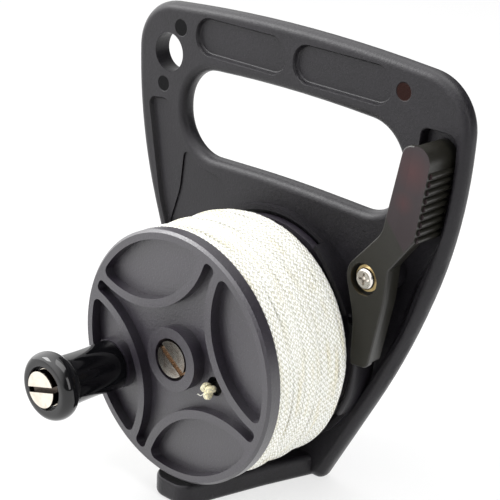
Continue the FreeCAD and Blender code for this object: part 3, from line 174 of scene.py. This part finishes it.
def turned_steel(name, x, rise, bright, dull, face=None, painted_slot_light="#b5a595"):
    """Stainless steel with tool rings by the distance from the screw's own axis. Behind its
    head's face, in the slot, a tone stands in for light: by default a painted brownish
    reflection, and a dark tone gives painted shade."""
    material, tree = blank_material(name)
    place = add(tree, "TexCoord").outputs["Object"]
    axes = add(tree, "SeparateXYZ", {}, {0: place})
    flat = add(tree, "CombineXYZ", {}, {0: axes.outputs[0], 2: axes.outputs[2]})
    centre = (x * MM, 0.0, (rise + AXLE_HEIGHT) * MM)
    away = add(tree, "VectorMath", {"operation": "DISTANCE", 1: centre}, {0: flat.outputs[0]})
    rings = add(tree, "TexNoise", {"noise_dimensions": "1D", "Scale": 1000.0 / 0.2, "Detail": 2.0},
                {"W": away.outputs["Value"]})
    stain = add(tree, "TexNoise", {"Scale": 420.0, "Detail": 4.0}, {"Vector": place})
    tint = add(tree, "Mix", {"data_type": "RGBA", 6: colour(bright), 7: colour(dull)},
               {0: add(tree, "MapRange", {"From Min": 0.45, "From Max": 0.75, "To Max": 0.8},
                       {"Value": stain.outputs["Fac"]}).outputs[0]}).outputs[2]
    if face is not None:
        middle = (face + SLOT_DEPTH / 2 + 0.3) * MM
        off = add(tree, "Math", {"operation": "SUBTRACT", 1: middle}, {0: axes.outputs[1]})
        deep = add(tree, "Math", {"operation": "ABSOLUTE"}, {0: off.outputs[0]})
        slot = add(tree, "MapRange", {"From Min": (SLOT_DEPTH / 2 + 0.1) * MM, "From Max":
                                      (SLOT_DEPTH / 2 - 0.1) * MM}, {"Value": deep.outputs[0]})
        tint = add(tree, "Mix", {"data_type": "RGBA", 7: colour(painted_slot_light)},
                   {0: slot.outputs[0], 6: tint}).outputs[2]
    rough = add(tree, "MapRange", {"To Min": 0.16, "To Max": 0.34}, {"Value": rings.outputs["Fac"]})
    bump = add(tree, "Bump", {"Strength": 0.35, "Distance": 0.03 * MM},
               {"Height": rings.outputs["Fac"]})
    shader = add(tree, "BsdfPrincipled", {"Metallic": 1.0},
                 {"Base Color": tint, "Roughness": rough.outputs[0], "Normal": bump.outputs[0]})
    add(tree, "OutputMaterial", {}, {"Surface": shader.outputs[0]})
    return material


CRANK_X = -30.7903
CRANK_RISE = -12.943
PIVOT_X = 46.4
PIVOT_RISE = 32.8
# The axle screw's slot keeps the default painted brownish reflection; the knob screw's slot is painted
# near-black, as painted shade.
axle_steel = turned_steel("turned stainless steel, axle", 0.0, 0.0, "#8d8982", "#6d5d50",
                          PLATE_FACE - 51.0)
knob_steel = turned_steel("turned stainless steel, knob", CRANK_X, CRANK_RISE, "#c6bfb4", "#b3aa9d",
                          PLATE_FACE - 81.3, "#3a332d")
lever_steel = turned_steel("turned stainless steel, lever", PIVOT_X, PIVOT_RISE, "#c4c1bc", "#93897e")
for part in ("axle_screw", "axle_washer", "axle_sleeve", "axle_nut", "flange_screws"):
    clothe(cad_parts[part], axle_steel)
for part in ("knob_screw", "knob_washer", "knob_sleeve", "knob_nut"):
    clothe(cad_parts[part], knob_steel)
clothe(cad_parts["lever_screw"], lever_steel)
clothe(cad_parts["lever_spring"], lever_steel)


def dull_brass(name):
    """Plain brass, turned and left bare, with a brown film that noise breaks up."""
    material, tree = blank_material(name)
    place = add(tree, "TexCoord").outputs["Object"]
    film = add(tree, "TexNoise", {"Scale": 500.0, "Detail": 4.0}, {"Vector": place})
    tint = add(tree, "Mix", {"data_type": "RGBA", 6: colour("#d9c79a"), 7: colour("#9c8355")},
               {0: film.outputs["Fac"]})
    shader = add(tree, "BsdfPrincipled", {"Metallic": 1.0, "Roughness": 0.3},
                 {"Base Color": tint.outputs[2]})
    add(tree, "OutputMaterial", {}, {"Surface": shader.outputs[0]})
    return material


brass = dull_brass("turned brass")
for part in ("lever_washer", "lever_bush", "lever_insert"):
    clothe(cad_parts[part], brass)

natural_nylon = grained_plastic("cut natural nylon", "#d8d3c4", "#e6e2d6", 0.5, 0.4, 0.6, 0.01)
clothe(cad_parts["thrust_washer"], natural_nylon)


# ---- Thumb lever and brake shoe ----
# The lever is moulded in a smoother black plastic than the frame. The shoe is soft black rubber.
# Painted reflection: past a slanting line across the lever's bend, its forward faces take a warm dark
# red, and two soft reddish patches lie on the upper arm, in place of the light that the bent upper
# facet catches.
lever_black = grained_plastic("moulded semi-gloss acetal", "#171611", "#1c1b17", 0.36, 0.3, 0.8, 0.0012,
                              painted_facet_reflection=((57.35, 51.75), (0.757, 0.653), "#1f1518"),
                              marks_and_reflections=[(62.4, 73.7, 8.0, 8.0, "#36181a", 0.0),
                                     (59.9, 62.8, 4.5, 4.5, "#33181a", 0.0)])
clothe(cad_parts["thumb_lever"], lever_black)
rubber = grained_plastic("moulded rubber", "#101010", "#1b1a19", 0.8, 0.25, 0.4, 0.02)
clothe(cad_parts["brake_shoe"], rubber)


# ---- Spool flanges ----
# Satin black nylon with pale glass specks in its skin. Its fine grain is drawn at 0.8 mm to show.
satin_nylon = grained_plastic("moulded satin nylon", "#110d14", "#201b25", 0.4, 0.55, 0.8, 0.18,
                              index=1.6, speck=0.7)
for part in ("front_flange", "rear_flange"):
    clothe(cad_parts[part], satin_nylon)


# ---- Wound line ----
# White braided line of 1.8 mm, wound on by hand in close turns that wander a little, with a few
# loops that cross them. Under it lie the inner layers.
LINE_RADIUS = 0.9
LINE_LEAD = 1.82
LINE_LOOPS = 22.0
WINDING_RADIUS = 43.6
BEND_RADIUS = 8.0
BEND_ANGLE = math.radians(58.0)
FLAT_LENGTH = 28.7
RINGS_PER_TURN = 300
TUBE_SIDES = 10
CROSSING_LOOPS = 3.4
CROSSING_LIFT = 0.62
CROSSING_START = 2.0


def grid_piece(name, points, sizes=None, close_rows=False):
    """A mesh of quads between the neighbours of a grid of points in millimetres. Its second
    parameter runs round and closes, and its ends are capped unless the rows close too."""
    rows, columns = points.shape[:2]
    last = rows if close_rows else rows - 1
    i, j = np.meshgrid(np.arange(last), np.arange(columns), indexing="ij")
    k = (j + 1) % columns
    n = (i + 1) % rows
    quads = np.stack([i * columns + j, i * columns + k, n * columns + k, n * columns + j], axis=-1)
    faces = quads.reshape(-1, 4).tolist()
    if not close_rows:
        faces.append(list(range(columns))[::-1])
        faces.append(list(range((rows - 1) * columns, rows * columns)))
    mesh = bpy.data.meshes.new(name)
    mesh.from_pydata((points.reshape(-1, 3) * MM).tolist(), [], faces)
    if sizes is not None:
        along, around = sizes
        u = np.stack([j, j + 1, j + 1, j], axis=-1) / columns * around
        v = np.stack([along[i], along[i], along[n], along[n]], axis=-1)
        uv = np.zeros((len(mesh.loops), 2))
        uv[:u.size] = np.stack([u.ravel(), v.ravel()], axis=-1)
        mesh.uv_layers.new(name="Braid").data.foreach_set("uv", uv.ravel())
    mesh.polygons.foreach_set("use_smooth", [True] * len(mesh.polygons))
    mesh.set_sharp_from_angle(angle=math.radians(40.0))
    mesh.update()
    piece = bpy.data.objects.new(name, mesh)
    bpy.context.scene.collection.objects.link(piece)
    return piece


def winding_surface(along, lift):
    """Place along Y and radius at a length along the winding's profile: a flat, then an arc
    down to the rear shoulder, then its tangent, all moved outwards by the lift."""
    front = PLATE_FACE - 44.7 + LINE_RADIUS
    core = WINDING_RADIUS - 2 * LINE_RADIUS - 0.05
    flat = FLAT_LENGTH - LINE_RADIUS
    angle = np.clip((along - flat) / (BEND_RADIUS + lift), 0.0, BEND_ANGLE)
    rest = np.maximum(along - flat - BEND_ANGLE * (BEND_RADIUS + lift), 0.0)
    y = np.minimum(along, flat) + np.sin(angle) * (BEND_RADIUS + lift) + rest * np.cos(angle)
    radius = core + lift - (1 - np.cos(angle)) * (BEND_RADIUS + lift) - rest * np.sin(angle)
    return front + y, radius


def tube(path, radius, sides, shape=None):
    """Rings carried along a path: each ring stands square to the path's direction, starting on
    the side away from the axle. The shape widens or narrows each ring point."""
    tangent = np.gradient(path, axis=0)
    tangent /= np.linalg.norm(tangent, axis=1)[:, None]
    centre = np.array([0.0, 0.0, AXLE_HEIGHT])
    out = path - centre
    out[:, 1] = 0.0
    out -= tangent * np.sum(out * tangent, axis=1)[:, None]
    out /= np.linalg.norm(out, axis=1)[:, None]
    side = np.cross(tangent, out)
    turn = np.arange(sides) * 2 * np.pi / sides
    reach = np.full((len(path), sides), radius) if shape is None else radius * shape
    return (path[:, None] + reach[..., None] * (out[:, None] * np.cos(turn)[None, :, None]
                                                + side[:, None] * np.sin(turn)[None, :, None]))


def wound(name, turn, along, lift, radius, shape=None):
    """A tube wound round the axle: its path stands on the winding's profile at each turn angle,
    and its map runs in millimetres along and around it."""
    y, out = winding_surface(along, lift)
    path = np.stack([out * np.cos(turn), y, AXLE_HEIGHT + out * np.sin(turn)], axis=1)
    length = np.concatenate([[0.0], np.cumsum(np.linalg.norm(np.diff(path, axis=0), axis=1))])
    return grid_piece(name, tube(path, radius, TUBE_SIDES, shape),
                      (length, 2 * np.pi * LINE_RADIUS))


wander = np.random.default_rng(11)
waves = [(wander.uniform(0.2, 1.3), wander.uniform(0, 6.28), wander.uniform(0.08, 0.22))
         for _ in range(7)]
steps = int(LINE_LOOPS * RINGS_PER_TURN)
turn = np.linspace(0.0, LINE_LOOPS * 2 * np.pi, steps)
along = turn / (2 * np.pi) * LINE_LEAD + sum(size * np.sin(rate * turn + start)
                                              for rate, start, size in waves)
along = np.clip(along, 0.0, None)
lift = LINE_RADIUS + 0.12 * np.sin(0.37 * turn + 1.0) * np.sin(1.13 * turn) - 0.07
bumps = (1.0 + 0.05 * wander.standard_normal((steps, 1))
         + 0.02 * wander.standard_normal((steps, TUBE_SIDES)))
winding = wound("line_winding", turn, along, lift, LINE_RADIUS, bumps)

back_along = np.linspace(float(along[-1]), CROSSING_START, int(CROSSING_LOOPS * RINGS_PER_TURN))
back_turn = turn[-1] + np.linspace(0.0, CROSSING_LOOPS * 2 * np.pi, len(back_along))
crossing = wound("line_crossing_loops", back_turn, back_along,
                 np.full(len(back_along), LINE_RADIUS + CROSSING_LIFT), LINE_RADIUS * 0.92)

CORE_ROWS = 240
CORE_COLUMNS = 256
CORE_PROFILE = 41.5
CORE_BORE = 12.05
FRONT_HOLLOW = 9.0
low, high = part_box("line_core")
profile = np.linspace(0.0, CORE_PROFILE, CORE_ROWS)
around = np.arange(CORE_COLUMNS) * 2 * np.pi / CORE_COLUMNS
ridge = np.abs(np.sin(np.pi * (profile[:, None] / LINE_LEAD - around[None, :] / (2 * np.pi))))
y, radius = winding_surface(profile, np.zeros(CORE_ROWS))
y = np.clip(y - LINE_RADIUS, low.y / MM, high.y / MM)
ring = radius[:, None] + 1.0 + 0.5 * ridge
outer = np.stack([ring * np.cos(around), np.broadcast_to(y[:, None], ring.shape),
                  AXLE_HEIGHT + ring * np.sin(around)], axis=-1)
bore = np.full((2, CORE_COLUMNS), CORE_BORE)
inner = np.stack([bore * np.cos(around),
                  np.broadcast_to(np.array([[y[-1]], [y[0] + FRONT_HOLLOW]]), bore.shape),
                  AXLE_HEIGHT + bore * np.sin(around)], axis=-1)
layers = grid_piece("line_inner_layers", np.concatenate([outer, inner])[:, ::-1],
                    (np.append(profile, [0.0, 0.0]), 2 * np.pi * WINDING_RADIUS),
                    close_rows=True)


def braided_line(name, per_u, per_v, way, light="#f2f2ef"):
    """Braid on the piece's own map, both directions in millimetres: strands slant both ways, each
    cell of their lattice shows the strand on top, and its height falls off across the strand.
    Where the height is low, between the strands, the colour falls to a grey beige: painted
    shade, with some dirt that a noise varies. The map's axis named by way runs along the line,
    and stretches of it are stained beige."""
    material, tree = blank_material(name)
    uv = add(tree, "UVMap", {"uv_map": "Braid"})
    place = add(tree, "SeparateXYZ", {}, {0: uv.outputs[0]})
    across = add(tree, "Math", {"operation": "MULTIPLY", 1: per_u}, {0: place.outputs[0]})
    length = add(tree, "Math", {"operation": "MULTIPLY", 1: per_v}, {0: place.outputs[1]})
    stretch = add(tree, "TexNoise", {"noise_dimensions": "1D", "Scale": 0.04, "Detail": 2.0},
                  {"W": place.outputs[way]})
    beige = add(tree, "MapRange", {"From Min": 0.52, "From Max": 0.72, "To Max": 0.5},
                {"Value": stretch.outputs["Fac"]})
    fall = []
    cells = []
    for kind in ("ADD", "SUBTRACT"):
        slant = add(tree, "Math", {"operation": kind}, {0: across.outputs[0], 1: length.outputs[0]})
        part = add(tree, "Math", {"operation": "FRACT"}, {0: slant.outputs[0]})
        wave = add(tree, "Math", {"operation": "PINGPONG", 1: 0.5}, {0: part.outputs[0]})
        fall.append(wave.outputs[0])
        cells.append(add(tree, "Math", {"operation": "FLOOR"}, {0: slant.outputs[0]}).outputs[0])
    count = add(tree, "Math", {"operation": "ADD"}, {0: cells[0], 1: cells[1]})
    half = add(tree, "Math", {"operation": "MULTIPLY", 1: 0.5}, {0: count.outputs[0]})
    odd = add(tree, "Math", {"operation": "FRACT"}, {0: half.outputs[0]})
    top = add(tree, "Math", {"operation": "GREATER_THAN", 1: 0.25}, {0: odd.outputs[0]})
    height = add(tree, "Mix", {}, {0: top.outputs[0], 2: fall[0], 3: fall[1]})
    object_place = add(tree, "TexCoord").outputs["Object"]
    fibre = add(tree, "TexNoise", {"Scale": 1000.0 / 0.25, "Detail": 2.0}, {"Vector": object_place})
    dirt_and_shade = add(tree, "TexNoise", {"Scale": 160.0, "Detail": 3.0}, {"Vector": object_place})
    soft = add(tree, "Math", {"operation": "MULTIPLY_ADD", 1: 0.12},
               {0: fibre.outputs["Fac"], 2: height.outputs[0]})
    shade = add(tree, "MapRange", {"From Min": 0.08, "From Max": 0.42}, {"Value": soft.outputs[0]})
    # Painted shade with some dirt: the grey beiges that the valleys between strands take.
    tone = add(tree, "Mix", {"data_type": "RGBA", 6: colour("#aea98f"), 7: colour("#bfc0b6")},
               {0: dirt_and_shade.outputs["Fac"]})
    tint = add(tree, "Mix", {"data_type": "RGBA", 7: colour(light)},
               {0: shade.outputs[0], 6: tone.outputs[2]})
    tint = add(tree, "Mix", {"data_type": "RGBA", "blend_type": "MULTIPLY", 7: colour("#ece4c8")},
               {0: beige.outputs[0], 6: tint.outputs[2]})
    bump = add(tree, "Bump", {"Strength": 1.0, "Distance": 0.42 * MM}, {"Height": soft.outputs[0]})
    shader = add(tree, "BsdfPrincipled", {"Roughness": 0.55, "Specular IOR Level": 0.35,
                                          "Sheen Weight": 0.15, "Sheen Roughness": 0.4},
                 {"Base Color": tint.outputs[2], "Normal": bump.outputs[0]})
    add(tree, "OutputMaterial", {}, {"Surface": shader.outputs[0]})
    return material


# Four strands round a 1.8 mm line, 2 mm apart along it: coarser than the real braid, to show.
white_line = braided_line("braided white polyester line", 0.7074, 0.5, 1)
white_layers = braided_line("braided white polyester line, layers", 0.5, 0.7074, 0)
for piece in (winding, crossing, layers):
    clothe(piece, white_layers if piece is layers else white_line)
    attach(piece, "spool")
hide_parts("line_turns")
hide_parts("line_core")


# ---- Knot of the line's inner end ----
# The line's end comes through the flange's hole and is knotted there, and one strand has frayed.
HOLE_X = 16.0
HOLE_RISE = -5.5
KNOT_ROWS = 180
KNOT_RADIUS = 1.15
FRAY_RADIUS = 0.16
s = np.linspace(0.0, 2 * np.pi, KNOT_ROWS + 1)[:-1]
knot_path = np.stack([HOLE_X - 0.4 + 1.0 * (np.sin(s) + 0.75 * np.sin(2 * s)),
                      PLATE_FACE - 48.6 + 0.9 * np.sin(3 * s),
                      AXLE_HEIGHT + HOLE_RISE - 0.9 + 1.2 * (np.cos(s) - 0.75 * np.cos(2 * s))],
                     axis=1)
swell = 1.0 + 0.05 * np.sin(9 * s)[:, None] + np.zeros((1, 12))
knot = grid_piece("line_knot_loops", tube(knot_path, KNOT_RADIUS, 12, swell),
                  (np.linspace(0.0, 24.0, KNOT_ROWS + 1), 5.6549), close_rows=True)
yellowed_line = braided_line("braided line end, yellowed", 0.7074, 0.5, 1, "#f3ebc4")
clothe(knot, yellowed_line)
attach(knot, "spool")
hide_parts("line_knot")

t = np.linspace(0.0, 1.0, 24)
fray_path = np.stack([HOLE_X - 1.9 - 3.0 * t, PLATE_FACE - 49.0 - 0.5 * np.sin(3.0 * t),
                      AXLE_HEIGHT + HOLE_RISE - 2.2 - 2.0 * t - 0.5 * np.sin(5.0 * t)], axis=1)
fray = grid_piece("line_frayed_strand", tube(fray_path, FRAY_RADIUS, 6), (3.6 * t, 1.0))
clothe(fray, white_line)
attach(fray, "spool")


# ---- Crank knob ----
# Turned and polished black knob with a waisted stem, a collar and a rounded end.
EDGE = 0.35


def turned_profile(corners, rounding, per_corner=6):
    """The corners of a profile (place along Y, radius), each replaced by a small arc: the points
    of a quadratic curve from one side of the corner to the other."""
    points = []
    t = np.linspace(0.0, 1.0, per_corner)[:, None]
    for k in range(len(corners)):
        here = np.array(corners[k])
        before = np.array(corners[k - 1]) - here
        after = np.array(corners[(k + 1) % len(corners)]) - here
        reach = min(rounding, np.linalg.norm(before) * 0.45, np.linalg.norm(after) * 0.45)
        start = here + before / np.linalg.norm(before) * reach
        end = here + after / np.linalg.norm(after) * reach
        points.append((1 - t) ** 2 * start + 2 * t * (1 - t) * here + t ** 2 * end)
    return np.concatenate(points)


FLANGE_FACE = PLATE_FACE - 50.0
KNOB_SIDES = 128
KNOB_BORE = 4.05
STEM_START = -0.3
STEM_END = -20.9
STEM_RADIUS = 8.9
COLLAR_END = -21.9
COLLAR_RADIUS = 9.2
RECESS_FLOOR = -26.7
RECESS_RADIUS = 7.7
KNOB_END = -30.1
stem_y = np.linspace(STEM_START, STEM_END, 24)
stem_r = STEM_RADIUS - 0.3 * np.sin(np.pi * (stem_y + 0.3) / -20.6)
bulb_t = np.linspace(0.0, np.pi, 40)
bulb_y = -22.9 - 3.6 * (1 - np.cos(bulb_t))
bulb_r = 9.3 + 2.8 * np.sin(bulb_t) ** 0.9
outline = [(STEM_START, KNOB_BORE)] + list(zip(stem_y, stem_r))
outline += [(STEM_END, COLLAR_RADIUS), (COLLAR_END, COLLAR_RADIUS), (COLLAR_END, STEM_RADIUS)]
outline += list(zip(bulb_y, bulb_r))
outline += [(KNOB_END, RECESS_RADIUS), (RECESS_FLOOR, RECESS_RADIUS), (RECESS_FLOOR, KNOB_BORE)]
profile = turned_profile(outline, EDGE)
around = np.arange(KNOB_SIDES) * 2 * np.pi / KNOB_SIDES
knob_y = np.broadcast_to(FLANGE_FACE + profile[:, :1], (len(profile), KNOB_SIDES))
ring = np.stack([CRANK_X + profile[:, 1:] * np.cos(around), knob_y,
                 AXLE_HEIGHT + CRANK_RISE + profile[:, 1:] * np.sin(around)], axis=-1)
knob = grid_piece("crank_knob_turned", ring, close_rows=True)


def polished(name):
    """Polished black plastic: a clear gloss with a faint orange-peel, and a wear noise that shifts its
    roughness and black a little.
    """
    material, tree = blank_material(name)
    place = add(tree, "TexCoord").outputs["Object"]
    peel = add(tree, "TexNoise", {"Scale": 420.0, "Detail": 1.0}, {"Vector": place})
    wear = add(tree, "TexNoise", {"Scale": 90.0, "Detail": 5.0}, {"Vector": place})
    rough = add(tree, "MapRange", {"From Min": 0.3, "From Max": 0.8, "To Min": 0.05, "To Max": 0.14},
                {"Value": wear.outputs["Fac"]})
    tint = add(tree, "Mix", {"data_type": "RGBA", 6: colour("#060607"), 7: colour("#0d0d0f")},
               {0: wear.outputs["Fac"]})
    bump = add(tree, "Bump", {"Strength": 0.25, "Distance": 0.02 * MM}, {"Height": peel.outputs["Fac"]})
    shader = add(tree, "BsdfPrincipled", {"IOR": 1.52, "Specular IOR Level": 0.3},
                 {"Base Color": tint.outputs[2], "Roughness": rough.outputs[0],
                  "Normal": bump.outputs[0]})
    add(tree, "OutputMaterial", {}, {"Surface": shader.outputs[0]})
    return material


clothe(knob, polished("polished black phenolic"))
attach(knob, "knob")
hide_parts("crank_knob")


# ---- Floor, light and camera ----
# A pale sweep that the camera sees as white, and that keeps the shadow. Reflections see the floor,
# and the sky above the camera's left, brighter than the camera does, and the sky behind darker:
# that gives the black mouldings the photo's sheen, and is no real room.
FLOOR_REACH = 4.0
floor_mesh = bpy.data.meshes.new("floor")
floor_mesh.from_pydata([(-FLOOR_REACH, -FLOOR_REACH, 0), (FLOOR_REACH, -FLOOR_REACH, 0),
                        (FLOOR_REACH, FLOOR_REACH, 0), (-FLOOR_REACH, FLOOR_REACH, 0)], [],
                       [(0, 1, 2, 3)])
floor = bpy.data.objects.new("floor", floor_mesh)
bpy.context.scene.collection.objects.link(floor)
material, tree = blank_material("pale sweep")
matte = add(tree, "BsdfDiffuse", {"Color": colour("#f2f2f2")})
white = add(tree, "Emission", {"Color": (1.0, 1.0, 1.0, 1.0), "Strength": 1.0})
sheen = add(tree, "Emission", {"Color": (1.0, 1.0, 1.0, 1.0), "Strength": 2.4})
ray = add(tree, "LightPath")
seen = add(tree, "Math", {"operation": "MAXIMUM"}, {0: ray.outputs["Is Camera Ray"],
                                                     1: ray.outputs["Is Transmission Ray"]})
share = add(tree, "Math", {"operation": "MULTIPLY", 1: 0.7}, {0: seen.outputs[0]})
mixed = add(tree, "MixShader", {}, {0: share.outputs[0], 1: matte.outputs[0], 2: white.outputs[0]})
glossy = add(tree, "Math", {"operation": "MULTIPLY", 1: 0.5}, {0: ray.outputs["Is Glossy Ray"]})
mixed = add(tree, "MixShader", {}, {0: glossy.outputs[0], 1: mixed.outputs[0], 2: sheen.outputs[0]})
add(tree, "OutputMaterial", {}, {"Surface": mixed.outputs[0]})
floor.data.materials.append(material)

world = bpy.data.worlds.new("studio")
bpy.context.scene.world = world
world.use_nodes = True
tree = world.node_tree
tree.nodes.clear()
ray = add(tree, "LightPath")
seen = add(tree, "Math", {"operation": "MAXIMUM"}, {0: ray.outputs["Is Camera Ray"],
                                                     1: ray.outputs["Is Transmission Ray"]})
soft = add(tree, "Background", {"Color": (1.0, 1.0, 1.0, 1.0), "Strength": 0.55})
bright = add(tree, "Background", {"Color": (1.0, 1.0, 1.0, 1.0), "Strength": 1.0})
heading = add(tree, "VectorMath", {"operation": "DOT_PRODUCT", 1: (-0.6, -0.45, 0.66)},
              {0: add(tree, "TexCoord").outputs["Generated"]})
shining = add(tree, "MapRange", {"From Min": 0.1, "From Max": 0.9, "To Min": 0.2, "To Max": 5.0},
              {"Value": heading.outputs["Value"]})
sheen = add(tree, "Background", {"Color": (1.0, 1.0, 1.0, 1.0)}, {"Strength": shining.outputs[0]})
mixed = add(tree, "MixShader", {}, {0: seen.outputs[0], 1: soft.outputs[0], 2: bright.outputs[0]})
mixed = add(tree, "MixShader", {}, {0: ray.outputs["Is Glossy Ray"], 1: mixed.outputs[0],
                                    2: sheen.outputs[0]})
add(tree, "OutputWorld", {}, {"Surface": mixed.outputs[0]})

AZIMUTH = math.radians(42.845)
ELEVATION = math.radians(20.742)
ROLL = math.radians(2.912)
FOCAL_PIXELS = 1700.0
IMAGE_PIXELS = 500.0
DISTANCE = 600.548
back = np.array([math.sin(AZIMUTH) * math.cos(ELEVATION), -math.cos(AZIMUTH) * math.cos(ELEVATION),
                 math.sin(ELEVATION)])
right = np.array([math.cos(AZIMUTH), math.sin(AZIMUTH), 0.0])
up = np.cross(back, right)
turned_right = math.cos(ROLL) * right + math.sin(ROLL) * up
turned_up = -math.sin(ROLL) * right + math.cos(ROLL) * up
target = np.array([-14.065, PLATE_FACE, 22.535 + AXLE_HEIGHT])
place = (target + back * DISTANCE) * MM
camera = bpy.data.objects.new("camera", bpy.data.cameras.new("camera"))
bpy.context.scene.collection.objects.link(camera)
camera.data.sensor_width = 36.0
camera.data.lens = FOCAL_PIXELS * camera.data.sensor_width / IMAGE_PIXELS
camera.data.clip_start = 0.05
camera.data.clip_end = 20.0
columns = np.eye(4)
columns[:3, 0] = turned_right
columns[:3, 1] = turned_up
columns[:3, 2] = back
columns[:3, 3] = place
camera.matrix_world = Matrix(columns.tolist())
bpy.context.scene.camera = camera


def softbox(name, at, width, height, power, aim=(0.0, 0.0, 0.08)):
    """An area lamp at a place in metres, turned to its aim."""
    lamp = bpy.data.lights.new(name, "AREA")
    lamp.shape = "RECTANGLE"
    lamp.size = width
    lamp.size_y = height
    lamp.energy = power
    holder = bpy.data.objects.new(name, lamp)
    bpy.context.scene.collection.objects.link(holder)
    holder.location = at
    holder.rotation_mode = "QUATERNION"
    holder.rotation_quaternion = (Vector(aim) - Vector(at)).to_track_quat("-Z", "Y")


softbox("key_left", (-0.75, -0.55, 0.8), 0.5, 0.5, 12.0)
softbox("top", (0.15, 0.05, 1.1), 0.8, 0.8, 9.0)
softbox("right", (1.0, -0.1, 0.45), 0.35, 0.7, 3.5)
bpy.context.scene.view_settings.view_transform = "Standard"
